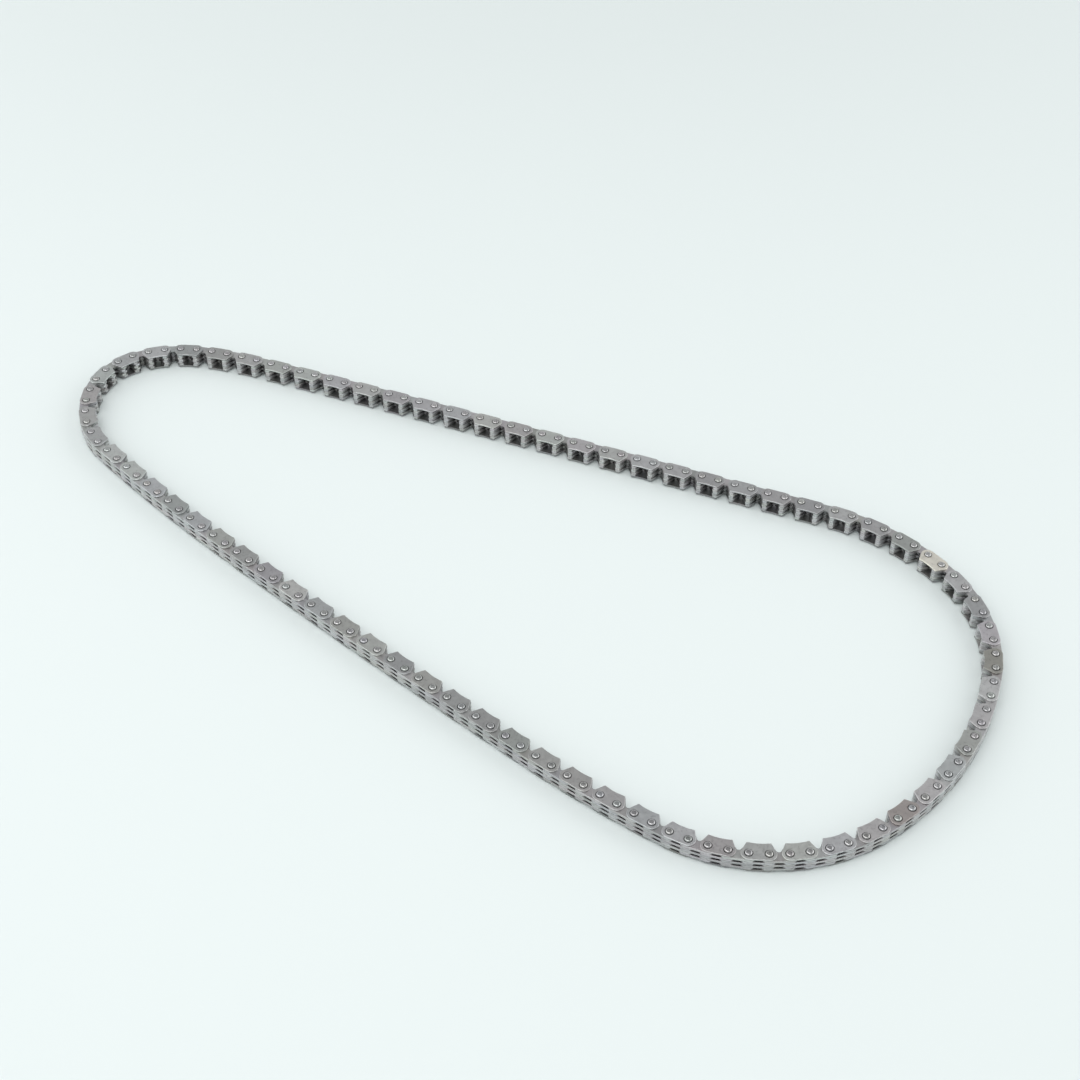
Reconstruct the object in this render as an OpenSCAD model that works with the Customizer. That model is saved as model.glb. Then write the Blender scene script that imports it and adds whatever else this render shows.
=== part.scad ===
// Timing chain of the inverted tooth kind, a closed loop laid on its side.
// Every pin, guide plate and tooth plate is a solid of its own. The loop lies in the XY plane on the
// lower ends of its pins, with the origin under the middle of the loop, and its teeth point inward.
// Outer links carry two guide plates and two tooth plates, inner links carry three tooth plates.

/* [Chain] */
// Distance between two neighbouring pins
pitch = 6.35; // [6:0.05:8]
// Tooth plates side by side in an inner link
inner_row = 3; // [2:1:4]
// Outer link that carries the coloured timing mark, counted along the far run
mark_link = 24; // [21:1:24]

/* [Plates] */
// Thickness of a tooth plate
plate_t = 0.95; // [0.8:0.05:1.2]
// Thickness of a guide plate
guide_t = 0.6; // [0.5:0.05:1]
// Free space between one plate and the next on a pin
plate_gap = 0.04; // [0.03:0.01:0.1]
// Radius of a plate's round ends about its pins
end_r = 2.45; // [2.3:0.05:2.6]
// Height of the toes above the line through the pins
tooth_h = 4; // [3.8:0.05:4.3]
// Slope of the outer flanks, in degrees
flank_angle = 28; // [25:0.5:30]
// Rounding of the corners of the toes
toe_r = 0.4; // [0.2:0.05:0.5]
// Depth of the shallow hollow between the toes of a guide plate
notch_depth = 0.35; // [0.2:0.05:0.8]

/* [Crotch of the tooth plates] */
// Width of one tooth at its tip
tip_w = 1.45; // [1.25:0.05:1.6]
// Radius of the round bottom of the crotch
crotch_r = 0.9; // [0.6:0.05:1]
// Height of the bottom of the crotch above the line through the pins
crotch_h = 1; // [0.8:0.05:1.6]

/* [Pins] */
// Diameter of a pin between its heads
pin_d = 2.2; // [2:0.05:2.4]
// Radial clearance between a pin and the plates that turn on it
running_gap = 0.04; // [0.03:0.01:0.06]
// Radial clearance between a pin and the guide plates that hold it
press_gap = 0.02; // [0.02:0.01:0.03]
// How far a riveted head stands out all round its pin
head_rim = 0.15; // [0.1:0.05:0.25]
// Height of a head above its guide plate
head_h = 0.42; // [0.3:0.02:0.6]
// Rounding of the rim of a head
head_round = 0.4; // [0.2:0.05:0.4]
// Depth of the coined seat round a head
seat_depth = 0.14; // [0.1:0.02:0.2]
// Free ring between a head and the wall of its seat
seat_gap = 0.2; // [0.15:0.05:0.3]

/* [Links in each stretch of the route] */
// End of the bend at the left end, where the route starts
far_left_links = 4; // [4:8:12]
// Straight far run
far_run_links = 36; // [28:8:44]
// Start of the bend at the right end
far_shoulder_links = 8; // [8:8:16]
// Tighter bend beside the far run
far_corner_links = 8; // [8:8:16]
// Flatter stretch across the right end
right_end_links = 12; // [4:8:20]
// Bend beside the near run
near_corner_links = 12; // [12:8:20]
// Easing out of that bend
near_shoulder_links = 8; // [8:8:16]
// Near run, almost straight
near_run_links = 24; // [16:8:32]
// End of the near run
near_sway_links = 10; // [10:8:18]
// First part of the bend at the left end
left_bend_links = 6; // [6:8:14]
// Tightest bend of the left end
left_end_links = 4; // [4:8:12]
// Bend between the left end and its shoulder
left_corner_links = 4; // [4:8:12]

/* [Degrees that each stretch turns clockwise] */
// Heading of the chain where the route starts, in degrees from the X axis
start_heading = -11.5; // [-25:0.5:0]
// End of the bend at the left end
far_left_turn = 9; // [0:1:20]
// Straight far run, which bends slightly outward
far_run_turn = -2; // [-6:1:6]
// Start of the bend at the right end
far_shoulder_turn = 34; // [25:1:45]
// Tighter bend beside the far run
far_corner_turn = 51; // [40:1:65]
// Flatter stretch across the right end
right_end_turn = 40; // [30:1:55]
// Bend beside the near run
near_corner_turn = 68; // [55:1:80]
// Easing out of that bend
near_shoulder_turn = 8; // [0:1:20]
// Near run, almost straight
near_run_turn = 4; // [-5:1:15]
// End of the near run
near_sway_turn = 5; // [-5:1:15]
// First part of the bend at the left end
left_bend_turn = 55; // [45:1:65]
// Tightest bend of the left end, whose corner turns by what is left of the full circle
left_end_turn = 55; // [45:1:65]

/* [Hidden] */
$fn = 48;

// Links in one section, half of them outer links
section_links = 8;

// Stretches of the route, each with its links and its turn
stretches = [
    [far_left_links, far_left_turn],
    [far_run_links, far_run_turn],
    [far_shoulder_links, far_shoulder_turn],
    [far_corner_links, far_corner_turn],
    [right_end_links, right_end_turn],
    [near_corner_links, near_corner_turn],
    [near_shoulder_links, near_shoulder_turn],
    [near_run_links, near_run_turn],
    [near_sway_links, near_sway_turn],
    [left_bend_links, left_bend_turn],
    [left_end_links, left_end_turn],
];
route = concat(stretches, [[left_corner_links, 360 - total([for (s = stretches) s[1]])]]);
links = total([for (s = route) s[0]]);
sections = links / section_links;

// Layers of plates from one guide plate to the other, and the height of the foot of each
layers = 2 * inner_row + 1;
stack_h = 2 * guide_t + (layers - 2) * plate_t + (layers - 1) * plate_gap;
function layer_z(layer) = head_h + (layer == 0 ? 0 : guide_t + layer * plate_gap + (layer - 1) * plate_t);

// Names of the nodes
function two_digits(n) = str(n < 10 ? "0" : "", n);
function section_names(kind) = [for (s = [1 : sections]) str(kind, two_digits(s))];

// Route of the chain

function total(v) = v * [for (x = v) 1];

// Bend at each pin, then the heading of each link before the loop is closed
bends = [for (s = route) for (i = [1 : s[0]]) s[1] / s[0]];
raw_headings = [for (i = 0, h = start_heading - bends[0]; i < links; i = i + 1, h = h - bends[i % links]) h];

// The loop is closed by one slow wave added to the headings, whose two amplitudes are solved for
function wave_cos(i) = cos(360 * i / links);
function wave_sin(i) = sin(360 * i / links);
function waved(a, b) = [for (i = [0 : links - 1]) raw_headings[i] + a * wave_cos(i) + b * wave_sin(i)];
function closed(a = 0, b = 0, rounds = 12) = rounds == 0 ? waved(a, b) :
    let (h = waved(a, b),
        gap_x = total([for (x = h) cos(x)]),
        gap_y = total([for (x = h) sin(x)]),
        xa = -total([for (i = [0 : links - 1]) sin(h[i]) * wave_cos(i)]) * PI / 180,
        xb = -total([for (i = [0 : links - 1]) sin(h[i]) * wave_sin(i)]) * PI / 180,
        ya = total([for (i = [0 : links - 1]) cos(h[i]) * wave_cos(i)]) * PI / 180,
        yb = total([for (i = [0 : links - 1]) cos(h[i]) * wave_sin(i)]) * PI / 180,
        det = xa * yb - xb * ya)
    closed(a - (gap_x * yb - gap_y * xb) / det, b - (gap_y * xa - gap_x * ya) / det, rounds - 1);
headings = closed();

// Pin centres, with the middle of the loop's box over the origin
trail = [for (i = 0, p = [0, 0]; i < links; p = p + pitch * [cos(headings[i]), sin(headings[i])], i = i + 1) p];
function middle(v) = (min(v) + max(v)) / 2;
loop_middle = [middle([for (p = trail) p.x]), middle([for (p = trail) p.y])];
pin_at = [for (p = trail) p - loop_middle];

// Outline of a plate

// Toe corner, inner corner of a tooth and the slope of the crotch's walls
half = pitch / 2;
toe_x = half + (end_r - tooth_h * sin(flank_angle)) / cos(flank_angle);
crotch_y = crotch_h + crotch_r;
tip_x = toe_x - tip_w;
crotch_angle = acos(crotch_r / norm([tip_x, tooth_h - crotch_y])) - atan2(tooth_h - crotch_y, tip_x);

// Directions square to the outer flank and to the wall of the crotch, on the right hand tooth
flank_out = [cos(flank_angle), sin(flank_angle)];
crotch_out = [-cos(crotch_angle), sin(crotch_angle)];

// Centres of the roundings at the toe and at the inner corner of the tooth
toe_centre = [half + (end_r - toe_r - (tooth_h - toe_r) * sin(flank_angle)) / cos(flank_angle), tooth_h - toe_r];
tip_centre = [((tooth_h - toe_r - crotch_y) * sin(crotch_angle) + crotch_r + toe_r) / cos(crotch_angle),
    tooth_h - toe_r];

// Hollow of a guide plate, an arc from toe to toe
notch_r = (toe_centre.x ^ 2 + notch_depth ^ 2) / (2 * notch_depth);

// Straight sides end this far inside the roundings that they run into
tuck = 0.01;
toe_in = toe_r - tuck;

// Points of one half from the back to the toe, and the other half mirrored
flank_points = [
    [half, tuck - end_r],
    [half, 0] + (end_r - tuck) * flank_out,
    toe_centre + toe_in * flank_out,
    toe_centre + toe_in * [0, 1],
];
crotch_points = [
    tip_centre + toe_in * [0, 1],
    tip_centre + toe_in * crotch_out,
    [0, crotch_y] - (crotch_r - tuck) * crotch_out,
];
function mirrored(v) = [for (i = [len(v) - 1 : -1 : 0]) [-v[i].x, v[i].y]];
function both_halves(v) = concat(v, mirrored(v));

module on_both_sides(place)
    for (side = [-1, 1]) translate([side * place.x, place.y]) children();

module plate_outline(points, bore_gap) {
    difference() {
        union() {
            polygon(both_halves(points));
            on_both_sides([half, 0]) circle(end_r);
            on_both_sides(toe_centre) circle(toe_r);
        }
        on_both_sides([half, 0]) circle(pin_d / 2 + bore_gap);
    }
}

module tooth_outline() {
    difference() {
        union() {
            plate_outline(concat(flank_points, crotch_points), running_gap);
            on_both_sides(tip_centre) circle(toe_r);
        }
        translate([0, crotch_y]) circle(crotch_r);
    }
}

module guide_outline() {
    difference() {
        plate_outline(flank_points, press_gap);
        translate([0, tooth_h - notch_depth + notch_r]) circle(notch_r, $fn = 240);
    }
}

// Pieces, each lying at height 0 with its teeth along +Y

head_r = pin_d / 2 + head_rim;

module tooth_plate()
    color("gray") linear_extrude(plate_t) tooth_outline();

// The coined seats of the pin heads are in its outer face, which is the lower one here
module guide_plate(paint = "darkgray")
    color(paint) difference() {
        linear_extrude(guide_t) guide_outline();
        on_both_sides([half, 0]) translate([0, 0, -seat_depth]) cylinder(r = head_r + seat_gap, h = 2 * seat_depth);
    }

// Outline of a head from the axis outward, with its foot on the bottom of its seat
module head_outline() {
    whole_h = head_h + seat_depth;
    square([head_r, whole_h - head_round]);
    square([head_r - head_round, whole_h]);
    translate([head_r - head_round, whole_h - head_round]) intersection() {
        circle(head_round);
        square(head_round);
    }
}

module pin()
    color("silver") translate([0, 0, head_h]) rotate_extrude() {
        square([pin_d / 2, stack_h]);
        translate([0, stack_h - seat_depth]) head_outline();
        translate([0, seat_depth]) mirror([0, 1]) head_outline();
    }

// Places on the loop: link i runs from pin i to the next one, and its teeth point to the inside

module at_link(i, layer) {
    middle_of_link = (pin_at[i] + pin_at[(i + 1) % links]) / 2;
    translate([middle_of_link.x, middle_of_link.y, layer_z(layer)]) rotate(headings[i] + 180) children();
}

module lower_guide_plate(i) at_link(i, 0) guide_plate();

module upper_guide_plate(i, paint = "darkgray")
    at_link(i, layers - 1) translate([0, 0, guide_t]) mirror([0, 0, 1]) guide_plate(paint);

// Groups of the pieces of one section, whose links start at its own first pin

function first_link(s) = (s - 1) * section_links;
function last_link(s) = s * section_links - 1;
marked = 2 * (mark_link - 1);

module pins(s)
    for (i = [first_link(s) : last_link(s)]) translate(pin_at[i]) pin();

module guide_plates(s)
    for (i = [first_link(s) : 2 : last_link(s)]) {
        lower_guide_plate(i);
        if (i != marked) upper_guide_plate(i);
    }

module tooth_plates(s)
    for (i = [first_link(s) : 2 : last_link(s)]) {
        for (layer = [2 : 2 : layers - 3]) at_link(i, layer) tooth_plate();
        for (layer = [1 : 2 : layers - 2]) at_link(i + 1, layer) tooth_plate();
    }

module timing_mark_plate() upper_guide_plate(marked, "wheat");

for (s = [1 : sections]) {
    pins(s);
    guide_plates(s);
    tooth_plates(s);
}
timing_mark_plate();
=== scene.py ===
"""Closed timing chain of the inverted tooth kind, lying on its side on a pale floor.

Every plate and pin is built from the chain's own sizes and laid on its route, section by section.
"""
import math

import bpy
import numpy as np
from bpy.props import FloatProperty, FloatVectorProperty, PointerProperty
from mathutils import Matrix, Vector
from mathutils.geometry import tessellate_polygon


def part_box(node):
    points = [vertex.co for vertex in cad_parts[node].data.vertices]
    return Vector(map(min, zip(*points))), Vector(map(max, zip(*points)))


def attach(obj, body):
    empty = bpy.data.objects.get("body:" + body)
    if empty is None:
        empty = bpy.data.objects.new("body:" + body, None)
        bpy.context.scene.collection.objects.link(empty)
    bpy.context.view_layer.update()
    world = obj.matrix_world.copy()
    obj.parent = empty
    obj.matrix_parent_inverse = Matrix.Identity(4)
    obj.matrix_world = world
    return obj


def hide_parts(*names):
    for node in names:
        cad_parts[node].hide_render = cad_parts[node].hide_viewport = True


bl_info = {
    "name": "Timing Chain",
    "version": (1, 0, 0),
    "blender": (4, 5, 0),
    "location": "View3D > Sidebar > Timing Chain",
    "description": "Builds a closed inverted tooth timing chain with its finishes, floor, lamps and camera",
    "category": "Object",
}

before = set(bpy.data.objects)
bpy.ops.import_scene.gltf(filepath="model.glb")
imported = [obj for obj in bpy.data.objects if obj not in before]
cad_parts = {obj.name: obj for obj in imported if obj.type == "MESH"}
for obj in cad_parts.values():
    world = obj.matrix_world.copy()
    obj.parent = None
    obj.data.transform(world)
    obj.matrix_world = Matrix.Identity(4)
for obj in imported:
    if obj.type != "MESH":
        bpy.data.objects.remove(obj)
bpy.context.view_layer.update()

LINKS = 136
SECTION_LINKS = 8

# Stretches of the route: links, and degrees turned clockwise over them
STRETCHES = (
    (4, 9), (36, -2), (8, 34), (8, 51), (12, 40), (12, 68),
    (8, 8), (24, 4), (10, 5), (6, 55), (4, 55), (4, 33),
)

# Layers of plates, counted from the lower guide plate: the upper guide plate and the tooth plates
TOP_LAYER = 6
OUTER_ROWS = (2, 4)
INNER_ROWS = (1, 3, 5)

# Upper guide plate with the timing mark, and those that were tempered browner than the rest, by link
MARK_PLATE = 46
BROWN_PLATES = {54: (0.70, 0.665, 0.61), 66: (0.88, 0.82, 0.78)}

# Half the play of a pin in its bore, and the soft rim of a bore or a seat
BORE_PLAY = 0.00002
SOFT_RIM = 0.00004

# Depths of the dish in the middle of a riveted head
DISHES = (0.0, 0.00002, 0.00004)

# Directions of the points round a bore or a pin
TURNS = np.linspace(0, 2 * math.pi, 33)[:-1]

# Painted shade on the walls of a tooth plate, between its teeth: where it starts below the toes, over what
# height it deepens, and how much light it takes at its deepest
FLANK_SHADE = (0.0003, 0.0018, 0.55)
CROTCH_SHADE = (0.0001, 0.0004, 0.65)

# How far the crotch ends short of the pins, and where the painted shade sets in, from below the pins upward
CROTCH_MARGIN = 0.0006
SHADE_FOOT, SHADE_FOOT_FADE = -0.0005, 0.001

# How far the tones of like pieces differ, and the seeds of their draws
TOOTH_TONES, LOWER_GUIDE_TONES, UPPER_GUIDE_TONES, PIN_TONES = 0.12, 0.05, 0.15, 0.1
TOOTH_SEED, GUIDE_SEED, PIN_SEED = 11, 5, 3

# Painted shade: brightness of surfaces that lie against another piece or near it, where shade falls
SHADED_EDGE = 0.6
LOWER_WALL_SHADE = 0.6
BORE_WALL_SHADE = 0.75
COVERED_FLAT_SHADE = 0.95
HEAD_FOOT_SHADE = 0.3

# Patterns in the steel, as the scale of their noise over a metre, and the depth of its relief
MOTTLE, SPECKS, SCUFFS = 420, 1100, 1900
SHEAR_MARKS = (6000, 6000, 500)
SCUFF_DEPTH, SHEAR_DEPTH = 0.00002, 0.00003

# Soft square lamps: place, width, and the power's name in the stage
LAMPS = {
    "upper_lamp": ((-0.2, -0.33, 1.15), 1.05, "upper_lamp"),
    "left_lamp": ((-0.75, 0.15, 0.5), 0.9, "side_lamps"),
    "right_lamp": ((0.75, 0.1, 0.5), 0.9, "side_lamps"),
}

# Colour of the room's even light: level, high up, and overhead
ROOM_COLOURS = (
    (0.02, (0.92, 0.95, 0.95, 1)),
    (0.66, (0.62, 0.63, 0.635, 1)),
    (0.85, (0.26, 0.265, 0.27, 1)),
)

# Half the floor's width, and from where to where its far part is lifted
FLOOR_REACH = 6.0
LIFT_START, LIFT_END = 0.3, 1.8


class ChainSizes(bpy.types.PropertyGroup):
    """Sizes of the plates, the pins and the route"""

    pitch: FloatProperty(
        name="Pitch", description="Distance between two neighbouring pins",
        default=0.00635, min=0.003, precision=5, unit="LENGTH")
    start_heading: FloatProperty(
        name="Start heading", description="Heading of the first link, from the X axis",
        default=math.radians(-11.5), subtype="ANGLE")
    tooth_plate_thickness: FloatProperty(
        name="Tooth plate", description="Thickness of a tooth plate",
        default=0.00095, min=0.0005, precision=5, unit="LENGTH")
    guide_plate_thickness: FloatProperty(
        name="Guide plate", description="Thickness of a guide plate",
        default=0.0006, min=0.0004, precision=5, unit="LENGTH")
    plate_gap: FloatProperty(
        name="Plate gap", description="Free space between one plate and the next",
        default=0.00004, min=0.0, precision=5, unit="LENGTH")
    end_radius: FloatProperty(
        name="End radius", description="Radius of a plate's round ends about its pins",
        default=0.00245, min=0.0015, precision=5, unit="LENGTH")
    back_corner: FloatProperty(
        name="Back corner", description="Rounding of a tooth plate's back corners",
        default=0.0017, min=0.0005, precision=5, unit="LENGTH")
    tooth_height: FloatProperty(
        name="Tooth height", description="Height of the toes above the line through the pins",
        default=0.004, min=0.003, precision=5, unit="LENGTH")
    flank_angle: FloatProperty(
        name="Flank angle", description="Slope of the outer flanks",
        default=math.radians(28), subtype="ANGLE")
    toe_radius: FloatProperty(
        name="Toe radius", description="Rounding of the corners of the toes",
        default=0.0004, min=0.0001, precision=5, unit="LENGTH")
    tip_width: FloatProperty(
        name="Tip width", description="Width of one tooth at its tip",
        default=0.00145, min=0.001, precision=5, unit="LENGTH")
    crotch_radius: FloatProperty(
        name="Crotch radius", description="Radius of the bottom of the crotch",
        default=0.0009, min=0.0003, precision=5, unit="LENGTH")
    crotch_height: FloatProperty(
        name="Crotch height", description="Height of the bottom of the crotch above the pins",
        default=0.001, min=0.0003, precision=5, unit="LENGTH")
    notch_depth: FloatProperty(
        name="Hollow", description="Depth of the shallow hollow between a guide plate's toes",
        default=0.00035, min=0.0001, precision=5, unit="LENGTH")
    pin_diameter: FloatProperty(
        name="Pin", description="Diameter of a pin between its heads",
        default=0.0022, min=0.001, precision=5, unit="LENGTH")
    head_rim: FloatProperty(
        name="Head rim", description="How far a head stands out all round its pin",
        default=0.00015, min=0.00005, precision=5, unit="LENGTH")
    head_height: FloatProperty(
        name="Head height", description="Height of a head above its guide plate",
        default=0.00042, min=0.0001, precision=5, unit="LENGTH")
    head_rounding: FloatProperty(
        name="Head rounding", description="Radius of the rounded rim of a head",
        default=0.00055, min=0.0001, precision=5, unit="LENGTH")
    seat_depth: FloatProperty(
        name="Seat depth", description="Depth of the coined seat round a head",
        default=0.00014, min=0.00005, precision=5, unit="LENGTH")
    seat_gap: FloatProperty(
        name="Seat gap", description="Free ring between a head and the wall of its seat",
        default=0.0002, min=0.00005, precision=5, unit="LENGTH")
    edge_roll: FloatProperty(
        name="Edge roll", description="Radius of the rounded edges of a stamped plate",
        default=0.00014, min=0.00002, precision=5, unit="LENGTH")


class ChainFinish(bpy.types.PropertyGroup):
    """Colours of the steels and of the mark"""

    tooth_steel: FloatVectorProperty(
        name="Tooth plates", description="Colour of the hardened tooth plates",
        default=(0.55, 0.545, 0.545), subtype="COLOR", min=0, max=1)
    guide_steel: FloatVectorProperty(
        name="Guide plates", description="Colour of the guide plates",
        default=(0.53, 0.532, 0.532), subtype="COLOR", min=0, max=1)
    pin_steel: FloatVectorProperty(
        name="Pins", description="Colour of the riveted pins",
        default=(0.52, 0.52, 0.52), subtype="COLOR", min=0, max=1)
    mark_coating: FloatVectorProperty(
        name="Mark plate", description="Colour of the timing mark's coated plate",
        default=(0.82, 0.79, 0.71), subtype="COLOR", min=0, max=1)


class ChainStage(bpy.types.PropertyGroup):
    """Camera, floor and lamps"""

    camera_place: FloatVectorProperty(
        name="Camera", description="Place of the camera",
        default=(0.01038, -0.44867, 0.47671), subtype="XYZ", unit="LENGTH")
    camera_pitch: FloatProperty(
        name="Looking down", description="How far the camera looks down from level",
        default=math.radians(45.409), subtype="ANGLE")
    camera_roll: FloatProperty(
        name="Roll", description="Roll of the camera about its own axis",
        default=math.radians(0.711), subtype="ANGLE")
    lens: FloatProperty(
        name="Lens", description="Focal length in millimetres on a sensor 36 wide",
        default=61.43, min=10)
    floor_colour: FloatVectorProperty(
        name="Floor", description="Colour of the floor",
        default=(0.75, 0.808, 0.80), subtype="COLOR", min=0, max=1)
    far_floor: FloatProperty(
        name="Far floor", description="Lift of the floor beyond the reach of the lamps",
        default=0.5, min=0)
    room_light: FloatProperty(
        name="Room light", description="Strength of the even light of the room",
        default=0.5, min=0)
    upper_lamp: FloatProperty(
        name="Upper lamp", description="Power of the soft lamp over the chain",
        default=7.4, min=0, unit="POWER")
    side_lamps: FloatProperty(
        name="Side lamps", description="Power of each soft lamp beside the chain",
        default=2.4, min=0, unit="POWER")


# Route of the chain

def closed_headings(sizes):
    """Heading of each link, closed by one slow wave whose two amplitudes are solved for."""
    bends = np.concatenate([np.full(n, math.radians(turn) / n) for n, turn in STRETCHES])
    raw = sizes.start_heading - np.cumsum(bends)
    phase = 2 * math.pi * np.arange(len(bends)) / len(bends)
    wave = np.stack([np.cos(phase), np.sin(phase)])
    amplitude = np.zeros(2)
    for _ in range(12):
        heading = raw + amplitude @ wave
        gap = np.array([np.cos(heading).sum(), np.sin(heading).sum()])
        slope = np.array([-(np.sin(heading) * wave).sum(1), (np.cos(heading) * wave).sum(1)])
        amplitude -= np.linalg.solve(slope, gap)
    return raw + amplitude @ wave


def route(sizes):
    """Pin centres and link headings, with the middle of the loop's box over the origin."""
    headings = closed_headings(sizes)
    if len(headings) != LINKS:
        raise RuntimeError("the stretches don't add up to the chain's links")
    steps = sizes.pitch * np.stack([np.cos(headings), np.sin(headings)], 1)
    pins = np.vstack([[0, 0], np.cumsum(steps, 0)[:-1]])
    pins -= (pins.min(0) + pins.max(0)) / 2
    low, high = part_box("pins_01")
    first = pins[:SECTION_LINKS]
    radius = sizes.pin_diameter / 2 + sizes.head_rim
    off = (abs(first[:, 0].min() - radius - low.x), abs(first[:, 1].max() + radius - high.y))
    if max(off) > 0.00005:
        raise RuntimeError("the pins of the first section are not where the frame has them")
    return pins, headings


def sections():
    """Number of each section, and the links that it holds."""
    for section in range(1, LINKS // SECTION_LINKS + 1):
        first = (section - 1) * SECTION_LINKS
        yield section, range(first, first + SECTION_LINKS)


def section_name(kind, section):
    return "%s_%02d" % (kind, section)


def link_middle(pins, i):
    return (pins[i] + pins[(i + 1) % LINKS]) / 2


def layer_height(sizes, layer):
    """Height of the foot of a layer of plates, counted from the lower guide plate."""
    if layer == 0:
        return sizes.head_height
    return (sizes.head_height + sizes.guide_plate_thickness + layer * sizes.plate_gap
            + (layer - 1) * sizes.tooth_plate_thickness)


# Outlines, as points with the direction that is square to the edge

def arc(centre, radius, start, end, steps, hollow=False):
    """An arc between two angles in degrees. A hollow one has the plate outside it."""
    angles = np.radians(np.linspace(start, end, steps + 1))
    out = np.stack([np.cos(angles), np.sin(angles)], 1)
    return np.hstack([np.asarray(centre) + radius * out, -out if hollow else out])


def both_halves(half):
    """The right hand half of an outline, from back to tooth, with its mirror image."""
    left = half[::-1] * [-1, 1, -1, 1]
    if abs(half[-1, 0]) < 1e-9:
        left = left[1:]
    return np.vstack([half, left])


def flank_and_toe(sizes, toe_end, corner):
    """Back corner, end, flank and outer side of a toe, and where the toe's centre is."""
    slope, half = sizes.flank_angle, sizes.pitch / 2
    lift = sizes.tooth_height - sizes.toe_radius
    toe_x = half + (sizes.end_radius - sizes.toe_radius - lift * math.sin(slope)) / math.cos(slope)
    degrees = math.degrees(slope)
    shoulder = (half + sizes.end_radius - corner, corner - sizes.end_radius)
    return [
        arc(shoulder, corner, -90, 0, 8),
        arc((half, 0), sizes.end_radius, 0, degrees, 4),
        arc((toe_x, lift), sizes.toe_radius, degrees, toe_end, 5),
    ], toe_x


def tooth_outline(sizes):
    """A tooth plate: two teeth with flat tips, and a round crotch between them."""
    parts, _ = flank_and_toe(sizes, 90, sizes.back_corner)
    slope, radius, toe = sizes.flank_angle, sizes.crotch_radius, sizes.toe_radius
    crotch_y = sizes.crotch_height + radius
    outer_x = sizes.pitch / 2 + (sizes.end_radius - sizes.tooth_height * math.sin(slope)) / math.cos(slope)
    tip_x, rise = outer_x - sizes.tip_width, sizes.tooth_height - crotch_y
    wall = math.acos(radius / math.hypot(tip_x, rise)) - math.atan2(rise, tip_x)
    tip_centre = ((rise - toe) * math.sin(wall) + radius + toe) / math.cos(wall)
    wall = math.degrees(wall)
    parts.append(arc((tip_centre, sizes.tooth_height - toe), toe, 90, 180 - wall, 4))
    parts.append(arc((0, crotch_y), radius, -wall, -90, 6, hollow=True))
    return both_halves(np.vstack(parts))


def guide_outline(sizes):
    """A guide plate: round ends, and a shallow hollow between its toes."""
    parts, toe_x = flank_and_toe(sizes, 86, sizes.end_radius)
    radius = (toe_x ** 2 + sizes.notch_depth ** 2) / (2 * sizes.notch_depth)
    lean = math.degrees(math.asin(toe_x / radius))
    centre = (0, sizes.tooth_height - sizes.notch_depth + radius)
    parts.append(arc(centre, radius, -90 + 0.96 * lean, -90, 8, hollow=True))
    return both_halves(np.vstack(parts))


def painted_cavity_shade(sizes, outline):
    """Painted shade between the teeth: none on the toes and the back, a fade down the flanks, a dark crotch.
    """
    x, y = outline[:, 0], outline[:, 1]
    in_crotch = (np.abs(x) < sizes.pitch / 2 - CROTCH_MARGIN) & (y > 0)
    cavity_shades = [most * np.clip((sizes.tooth_height - y - start) / fade, 0, 1)
             for start, fade, most in (CROTCH_SHADE, FLANK_SHADE)]
    above_back = np.clip((y - SHADE_FOOT) / SHADE_FOOT_FADE, 0, 1)
    return 1 - np.where(in_crotch, *cavity_shades) * above_back


# Meshes in arrays

class Shape:
    """Points and faces of one stamped or turned piece.

    A flat face has a painted shade of its own. A wall takes its brightness from the painted shade of its
    points.
    """

    def __init__(self):
        self.points, self.faces, self.tones, self.shade = [], [], [], []
        self.count = 0

    def ring(self, points, shade=1.0):
        self.points.append(np.asarray(points, float))
        self.shade.append(np.broadcast_to(shade, len(points)))
        start = self.count
        self.count += len(points)
        return range(start, self.count)

    def wall(self, lower, upper):
        """Faces from one ring to the next, facing out where the rings run anticlockwise."""
        n = len(lower)
        for i in range(n):
            j = (i + 1) % n
            self.faces.append((lower[i], lower[j], upper[j], upper[i]))
            self.tones.append(None)

    def walls(self, rings):
        for lower, upper in zip(rings, rings[1:]):
            self.wall(lower, upper)

    def cap(self, rings, upward, tone=1.0):
        """A flat face with holes, the outer ring first, all in one tone of painted shade."""
        points = np.vstack(self.points)
        index = [i for ring in rings for i in ring]
        loops = [[Vector(points[i]) for i in ring] for ring in rings]
        for corners in tessellate_polygon(loops):
            a, b, c = (index[k] for k in corners)
            p, q, r = points[a], points[b], points[c]
            turn = (q[0] - p[0]) * (r[1] - p[1]) - (q[1] - p[1]) * (r[0] - p[0])
            self.faces.append((a, b, c) if (turn > 0) == upward else (a, c, b))
            self.tones.append(tone)

    def done(self):
        """Points, faces, which faces are flat, and the painted shade at each face's corners."""
        shade = np.concatenate(self.shade)
        corners = [shade[i] if tone is None else tone
                   for face, tone in zip(self.faces, self.tones) for i in face]
        flat = np.array([tone is not None for tone in self.tones])
        return np.vstack(self.points), self.faces, flat, np.array(corners)


def circle(radius, height, x=0.0):
    """Points of a level circle about a place on the X axis."""
    return np.column_stack([x + radius * np.cos(TURNS), radius * np.sin(TURNS), np.full(len(TURNS), height)])


def rolled(radius, steps=3):
    """Inset and drop of each ring of a rounded edge, from the flat face to the wall."""
    angles = np.linspace(0, math.pi / 2, steps + 1)
    return [(radius * (1 - math.sin(a)), radius * (1 - math.cos(a))) for a in angles]


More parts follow.
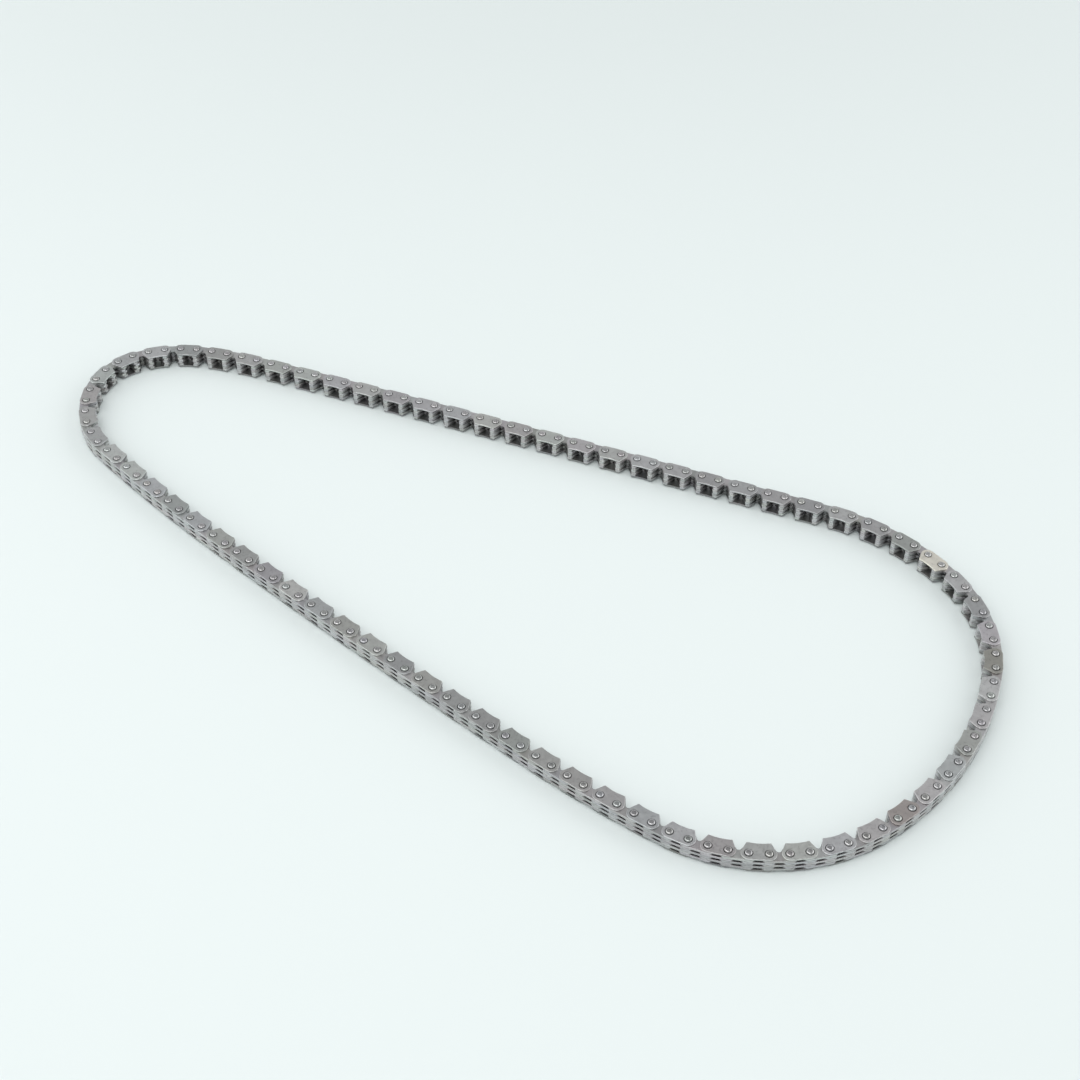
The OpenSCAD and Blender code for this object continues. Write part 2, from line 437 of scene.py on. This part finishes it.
def bore_profile(sizes, thickness, lower_seat, upper_seat):
    """Radius and height of each ring of a bore, from below, with a seat where the plate has one."""
    bore = sizes.pin_diameter / 2 + BORE_PLAY
    seat = sizes.pin_diameter / 2 + sizes.head_rim + sizes.seat_gap
    if lower_seat:
        lower = [(seat + SOFT_RIM, 0), (seat, SOFT_RIM), (seat, lower_seat), (bore, lower_seat)]
    else:
        lower = [(bore + SOFT_RIM, 0), (bore, SOFT_RIM)]
    if upper_seat:
        floor = thickness - upper_seat
        upper = [(bore, floor), (seat, floor), (seat, thickness - SOFT_RIM), (seat + SOFT_RIM, thickness)]
    else:
        upper = [(bore, thickness - SOFT_RIM), (bore + SOFT_RIM, thickness)]
    return lower + upper


def stamped_plate(sizes, outline, thickness, upper_seat=0.0, lower_seat=0.0, walls=1.0):
    """A plate with rounded edges and two bores, and coined seats on its outer side, if it has one.

    Painted shade darkens the edges that lie against another plate, the bores and the covered flats, and the
    walls by the factor in walls.
    """
    shape = Shape()
    edge = rolled(min(sizes.edge_roll, 0.3 * thickness))
    # Painted shade on the edges that lie against another plate; the side with a seat faces out and stays
    # unshaded
    edge_shade, unshaded = np.linspace(SHADED_EDGE, 1, len(edge)), np.ones(len(edge))
    levels = [(inset, drop, shade)
              for (inset, drop), shade in zip(edge, unshaded if lower_seat else edge_shade)]
    levels += [(inset, thickness - drop, shade)
               for (inset, drop), shade in zip(edge, unshaded if upper_seat else edge_shade)][::-1]
    rings = []
    for inset, height, shade in levels:
        edge_line = outline[:, :2] - inset * outline[:, 2:]
        rings.append(shape.ring(np.column_stack([edge_line, np.full(len(outline), height)]), shade * walls))
    shape.walls(rings)

    bottoms, tops = [rings[0]], [rings[-1]]
    for x in (-sizes.pitch / 2, sizes.pitch / 2):
        # Painted shade in the bores and the seats
        holes = [shape.ring(circle(radius, height, x), BORE_WALL_SHADE)
                 for radius, height in bore_profile(sizes, thickness, lower_seat, upper_seat)]
        for lower, upper in zip(holes, holes[1:]):
            shape.wall(upper, lower)
        bottoms.append(holes[0])
        tops.append(holes[-1])
    # Painted shade on a flat that lies against another plate
    shape.cap(bottoms, upward=False, tone=1.0 if lower_seat else COVERED_FLAT_SHADE)
    shape.cap(tops, upward=True, tone=1.0 if upper_seat else COVERED_FLAT_SHADE)
    return shape.done()


def turned_pin(sizes, stack, dish):
    """A pin with a riveted head at each end: flat middle, slight dish and a rounded rim."""
    shape = Shape()
    shank = sizes.pin_diameter / 2
    head = shank + sizes.head_rim
    foot = sizes.head_height + sizes.seat_depth
    rounding = sizes.head_rounding
    middle = head - rounding
    half = [(0.3 * middle, dish, 1), (0.75 * middle, 0.5 * dish, 1)]
    # Painted shade: darker down the rounded rim, and dark at the head's foot and on the shank
    for a in np.linspace(0, math.pi / 2, 7):
        half.append((middle + rounding * math.sin(a), rounding * (1 - math.cos(a)), 1 - 0.25 * a * a))
    half += [(head, foot, HEAD_FOOT_SHADE), (shank, foot, HEAD_FOOT_SHADE)]
    length = sizes.head_height * 2 + stack
    profile = half + [(radius, length - height, shade) for radius, height, shade in reversed(half)]
    rings = [shape.ring(circle(radius, height), shade) for radius, height, shade in profile]
    shape.walls(rings)
    shape.cap([rings[0]], upward=False)
    shape.cap([rings[-1]], upward=True)
    return shape.done()


def laid_out(name, copies):
    """One object of many pieces. Each copy is a shape, a heading, a place and a tone."""
    points, faces, flat, tones_and_shade, count = [], [], [], [], 0
    for (local, shape_faces, shape_flat, corners), heading, place, tone in copies:
        c, s = math.cos(heading), math.sin(heading)
        points.append(local @ np.array([[c, s, 0], [-s, c, 0], [0, 0, 1]]) + np.asarray(place))
        faces += [tuple(i + count for i in face) for face in shape_faces]
        flat.append(shape_flat)
        # Each corner's colour is the shape's painted shade times the piece's own tone
        tones_and_shade.append(np.column_stack([np.outer(corners, tone), np.ones(len(corners))]))
        count += len(local)
    mesh = bpy.data.meshes.new(name)
    mesh.from_pydata(np.vstack(points).tolist(), [], faces)
    mesh.polygons.foreach_set("use_smooth", ~np.concatenate(flat))
    colour = mesh.color_attributes.new("plate_tint", "FLOAT_COLOR", "CORNER")
    colour.data.foreach_set("color", np.vstack(tones_and_shade).astype(np.float32).ravel())
    mesh.update()
    piece = bpy.data.objects.new(name, mesh)
    bpy.context.scene.collection.objects.link(piece)
    return piece


def tint(random, spread):
    """A slightly lighter, darker, warmer or cooler tone for one piece."""
    level = 1 + spread * random.uniform(-1, 1)
    return level * (1 + 0.025 * random.uniform(-1, 1, 3))


def dressed(piece, material, node, body):
    """Give a piece its finish and its body, and hide the node that it stands in for."""
    piece.data.materials.append(material)
    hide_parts(node)
    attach(piece, body)


# Finishes

def noise(tree, where, scale, detail):
    """Output of a noise pattern over the piece."""
    pattern = tree.nodes.new("ShaderNodeTexNoise")
    pattern.inputs["Scale"].default_value = scale
    pattern.inputs["Detail"].default_value = detail
    tree.links.new(where, pattern.inputs["Vector"])
    return pattern.outputs["Fac"]


def ranged(tree, value, from_range, to_range, smooth=False):
    """Output of a value carried from one range to another."""
    node = tree.nodes.new("ShaderNodeMapRange")
    node.interpolation_type = "SMOOTHSTEP" if smooth else "LINEAR"
    node.inputs["From Min"].default_value, node.inputs["From Max"].default_value = from_range
    node.inputs["To Min"].default_value, node.inputs["To Max"].default_value = to_range
    tree.links.new(value, node.inputs["Value"])
    return node.outputs["Result"]


def worked_out(tree, operation, first, second, clamped=False):
    """Output of two values added or multiplied."""
    node = tree.nodes.new("ShaderNodeMath")
    node.operation, node.use_clamp = operation, clamped
    tree.links.new(first, node.inputs[0])
    tree.links.new(second, node.inputs[1])
    return node.outputs["Value"]


def tinted(tree, second, first=None, colour=(1, 1, 1)):
    """Output of a colour, or of another output, multiplied by a second output."""
    node = tree.nodes.new("ShaderNodeMix")
    node.data_type, node.blend_type = "RGBA", "MULTIPLY"
    node.inputs["Factor"].default_value = 1
    node.inputs["A"].default_value = (*colour, 1)
    if first is not None:
        tree.links.new(first, node.inputs["A"])
    tree.links.new(second, node.inputs["B"])
    return node.outputs["Result"]


def bumped(tree, height, strength, distance, under=None):
    """Output of a bump, over another one if there is one under it."""
    node = tree.nodes.new("ShaderNodeBump")
    node.inputs["Strength"].default_value = strength
    node.inputs["Distance"].default_value = distance
    tree.links.new(height, node.inputs["Height"])
    if under is not None:
        tree.links.new(under, node.inputs["Normal"])
    return node.outputs["Normal"]


def steel_finish(name, colour, roughness, grain, edge_marks):
    """Tumbled or polished steel: mottled tone, fine scratches and, on the edges, the marks of the shear."""
    material = bpy.data.materials.new(name)
    material.use_nodes = True
    tree = material.node_tree
    nodes, links = tree.nodes, tree.links
    shader = nodes["Principled BSDF"]
    shader.inputs["Metallic"].default_value = 1.0
    where = nodes.new("ShaderNodeTexCoord").outputs["Object"]
    # The piece's own tone times the painted shade of its corners
    tone = nodes.new("ShaderNodeAttribute")
    tone.attribute_name = "plate_tint"

    mottle = ranged(tree, noise(tree, where, MOTTLE, 5), (0.3, 0.7), (0.92, 1.06))
    grime = ranged(tree, noise(tree, where, SPECKS, 2), (0.57, 0.68), (1.0, 0.84))
    soiled = worked_out(tree, "MULTIPLY", mottle, grime)
    steel = tinted(tree, tone.outputs["Color"], colour=colour)
    links.new(tinted(tree, soiled, first=steel), shader.inputs["Base Color"])

    scuffs = noise(tree, where, SCUFFS, 3)
    rough = ranged(tree, scuffs, (0.3, 0.7), (roughness - 0.06, roughness + 0.08))
    links.new(rough, shader.inputs["Roughness"])

    relief = bumped(tree, scuffs, grain, SCUFF_DEPTH)
    if edge_marks:
        stretched = nodes.new("ShaderNodeMapping")
        stretched.inputs["Scale"].default_value = SHEAR_MARKS
        links.new(where, stretched.inputs["Vector"])
        shear = noise(tree, stretched.outputs["Vector"], 1, 2)
        relief = bumped(tree, shear, edge_marks, SHEAR_DEPTH, under=relief)
    links.new(relief, shader.inputs["Normal"])
    return material


def floor_finish(stage):
    """Pale floor, lifted beyond the reach of the lamps, so that it stays even to the horizon."""
    material = bpy.data.materials.new("pale_floor")
    material.use_nodes = True
    tree = material.node_tree
    nodes, links = tree.nodes, tree.links
    shader = nodes["Principled BSDF"]
    shader.inputs["Base Color"].default_value = (*stage.floor_colour, 1)
    shader.inputs["Emission Color"].default_value = (*stage.floor_colour, 1)
    shader.inputs["Roughness"].default_value = 0.6
    shader.inputs["Specular IOR Level"].default_value = 0.2
    where = nodes.new("ShaderNodeTexCoord")
    away = nodes.new("ShaderNodeVectorMath")
    away.operation = "LENGTH"
    links.new(where.outputs["Object"], away.inputs[0])
    lift = ranged(tree, away.outputs["Value"], (LIFT_START, LIFT_END), (0, stage.far_floor), smooth=True)
    ray = nodes.new("ShaderNodeLightPath")
    camera_ray, glossy_ray = ray.outputs["Is Camera Ray"], ray.outputs["Is Glossy Ray"]
    seen = worked_out(tree, "ADD", camera_ray, glossy_ray, clamped=True)
    links.new(worked_out(tree, "MULTIPLY", lift, seen), shader.inputs["Emission Strength"])
    return material


# Operators

class CHAIN_OT_stage(bpy.types.Operator):
    """Add the pale floor, the soft lamps, the room's light and the camera"""

    bl_idname = "chain.stage"
    bl_label = "Stage"

    def execute(self, context):
        stage = context.scene.chain_stage
        self.add_floor(context, stage)
        self.add_lamps(context, stage)
        self.add_room_light(context, stage)
        self.add_camera(context, stage)
        context.scene.view_settings.view_transform = "Standard"
        return {"FINISHED"}

    def add_floor(self, context, stage):
        mesh = bpy.data.meshes.new("floor")
        corners = [(x * FLOOR_REACH, y * FLOOR_REACH, 0) for x, y in ((-1, -1), (1, -1), (1, 1), (-1, 1))]
        mesh.from_pydata(corners, [], [(0, 1, 2, 3)])
        mesh.materials.append(floor_finish(stage))
        floor = bpy.data.objects.new("floor", mesh)
        context.scene.collection.objects.link(floor)

    def add_lamps(self, context, stage):
        for name, (place, width, power) in LAMPS.items():
            data = bpy.data.lights.new(name, "AREA")
            data.size, data.energy = width, getattr(stage, power)
            lamp = bpy.data.objects.new(name, data)
            lamp.location = place
            lamp.rotation_euler = Vector(place).to_track_quat("Z", "Y").to_euler()
            context.scene.collection.objects.link(lamp)

    def add_room_light(self, context, stage):
        world = bpy.data.worlds.new("soft_room")
        world.use_nodes = True
        nodes, links = world.node_tree.nodes, world.node_tree.links
        background = nodes["Background"]
        where = nodes.new("ShaderNodeTexCoord")
        apart = nodes.new("ShaderNodeSeparateXYZ")
        links.new(where.outputs["Generated"], apart.inputs["Vector"])
        sweep = nodes.new("ShaderNodeValToRGB")
        level, high, overhead = ROOM_COLOURS
        stops = sweep.color_ramp.elements
        stops[0].position, stops[0].color = level
        stops[1].position, stops[1].color = overhead
        stops.new(high[0]).color = high[1]
        links.new(apart.outputs["Z"], sweep.inputs["Fac"])
        links.new(sweep.outputs["Color"], background.inputs["Color"])
        background.inputs["Strength"].default_value = 2 * stage.room_light
        context.scene.world = world

    def add_camera(self, context, stage):
        data = bpy.data.cameras.new("photo_camera")
        data.lens, data.sensor_width, data.sensor_fit = stage.lens, 36.0, "HORIZONTAL"
        data.clip_start, data.clip_end = 0.01, 50
        camera = bpy.data.objects.new("photo_camera", data)
        down = stage.camera_pitch
        forward = Vector((0, math.cos(down), -math.sin(down)))
        up = Vector((0, math.sin(down), math.cos(down)))
        upright = Matrix((Vector((1, 0, 0)), up, -forward)).transposed()
        turn = upright @ Matrix.Rotation(stage.camera_roll, 3, "Z")
        camera.matrix_world = Matrix.Translation(stage.camera_place) @ turn.to_4x4()
        context.scene.collection.objects.link(camera)
        context.scene.camera = camera


class CHAIN_OT_tooth_plates(bpy.types.Operator):
    """Lay the laced tooth plates of every section"""

    bl_idname = "chain.tooth_plates"
    bl_label = "Tooth Plates"

    def execute(self, context):
        sizes, finish = context.scene.chain_sizes, context.scene.chain_finish
        pins, headings = route(sizes)
        outline = tooth_outline(sizes)
        # Painted shade darkens the tooth plates' walls between the teeth
        plate = stamped_plate(sizes, outline, sizes.tooth_plate_thickness, walls=painted_cavity_shade(sizes, outline))
        steel = steel_finish("hardened_tooth_steel", finish.tooth_steel,
                             roughness=0.34, grain=0.12, edge_marks=0.25)
        random = np.random.default_rng(TOOTH_SEED)
        for section, links in sections():
            copies = []
            for i in links:
                for layer in OUTER_ROWS if i % 2 == 0 else INNER_ROWS:
                    place = (*link_middle(pins, i), layer_height(sizes, layer))
                    copies.append((plate, headings[i] + math.pi, place, tint(random, TOOTH_TONES)))
            piece = laid_out(section_name("laced_tooth_plates", section), copies)
            node, body = section_name("tooth_plates", section), section_name("section", section)
            dressed(piece, steel, node, body)
        return {"FINISHED"}


class CHAIN_OT_guide_plates(bpy.types.Operator):
    """Lay the guide plates over and under the outer links, and the coloured plate of the timing mark"""

    bl_idname = "chain.guide_plates"
    bl_label = "Guide Plates"

    def execute(self, context):
        sizes, finish = context.scene.chain_sizes, context.scene.chain_finish
        pins, headings = route(sizes)
        outline, thick, depth = guide_outline(sizes), sizes.guide_plate_thickness, sizes.seat_depth
        # Painted shade darkens the walls of the lower guide plates, down by the floor
        lower = stamped_plate(sizes, outline, thick, lower_seat=depth, walls=LOWER_WALL_SHADE)
        upper = stamped_plate(sizes, outline, thick, upper_seat=depth)
        steel = steel_finish("tumbled_guide_steel", finish.guide_steel,
                             roughness=0.38, grain=0.15, edge_marks=0.2)
        coating = steel_finish("mark_coating", finish.mark_coating,
                               roughness=0.42, grain=0.15, edge_marks=0.2)
        random = np.random.default_rng(GUIDE_SEED)
        foot, top = layer_height(sizes, 0), layer_height(sizes, TOP_LAYER)
        for section, links in sections():
            body = section_name("section", section)
            copies = []
            for i in links[::2]:
                middle, heading = link_middle(pins, i), headings[i] + math.pi
                copies.append((lower, heading, (*middle, foot), tint(random, LOWER_GUIDE_TONES)))
                tone = tint(random, UPPER_GUIDE_TONES) * BROWN_PLATES.get(i, (1, 1, 1))
                if i == MARK_PLATE:
                    mark = laid_out("coloured_mark_plate", [(upper, heading, (*middle, top), np.ones(3))])
                    dressed(mark, coating, "timing_mark_plate", body)
                else:
                    copies.append((upper, heading, (*middle, top), tone))
            piece = laid_out(section_name("guide_plate_pairs", section), copies)
            dressed(piece, steel, section_name("guide_plates", section), body)
        return {"FINISHED"}


class CHAIN_OT_pins(bpy.types.Operator):
    """Set the riveted pins of every section"""

    bl_idname = "chain.pins"
    bl_label = "Riveted Pins"

    def execute(self, context):
        sizes, finish = context.scene.chain_sizes, context.scene.chain_finish
        pins, headings = route(sizes)
        stack = layer_height(sizes, TOP_LAYER) + sizes.guide_plate_thickness - sizes.head_height
        shapes = [turned_pin(sizes, stack, dish) for dish in DISHES]
        steel = steel_finish("polished_pin_steel", finish.pin_steel,
                             roughness=0.22, grain=0.08, edge_marks=0.0)
        random = np.random.default_rng(PIN_SEED)
        for section, links in sections():
            copies = []
            for i in links:
                shape = shapes[random.integers(len(shapes))]
                copies.append((shape, random.uniform(0, math.pi), (*pins[i], 0), tint(random, PIN_TONES)))
            piece = laid_out(section_name("riveted_pins", section), copies)
            node, body = section_name("pins", section), section_name("section", section)
            dressed(piece, steel, node, body)
        return {"FINISHED"}


class CHAIN_PT_panel(bpy.types.Panel):
    """Lists the steps of the chain, its sizes, its colours and its stage in the sidebar"""

    bl_label = "Timing Chain"
    bl_idname = "CHAIN_PT_panel"
    bl_space_type = "VIEW_3D"
    bl_region_type = "UI"
    bl_category = "Timing Chain"

    def draw(self, context):
        for step in OPERATORS:
            self.layout.operator(step.bl_idname)
        for name, group in GROUPS.items():
            for value in group.__annotations__:
                self.layout.prop(getattr(context.scene, name), value)


GROUPS = {"chain_sizes": ChainSizes, "chain_finish": ChainFinish, "chain_stage": ChainStage}
OPERATORS = (CHAIN_OT_stage, CHAIN_OT_tooth_plates, CHAIN_OT_guide_plates, CHAIN_OT_pins)
CLASSES = (*GROUPS.values(), *OPERATORS, CHAIN_PT_panel)


def register():
    for cls in CLASSES:
        bpy.utils.register_class(cls)
    for name, group in GROUPS.items():
        setattr(bpy.types.Scene, name, PointerProperty(type=group))


def unregister():
    for name in GROUPS:
        delattr(bpy.types.Scene, name)
    for cls in reversed(CLASSES):
        bpy.utils.unregister_class(cls)


def main():
    register()
    bpy.ops.chain.stage()
    bpy.ops.chain.tooth_plates()
    bpy.ops.chain.guide_plates()
    bpy.ops.chain.pins()


if __name__ == "__main__":
    main()
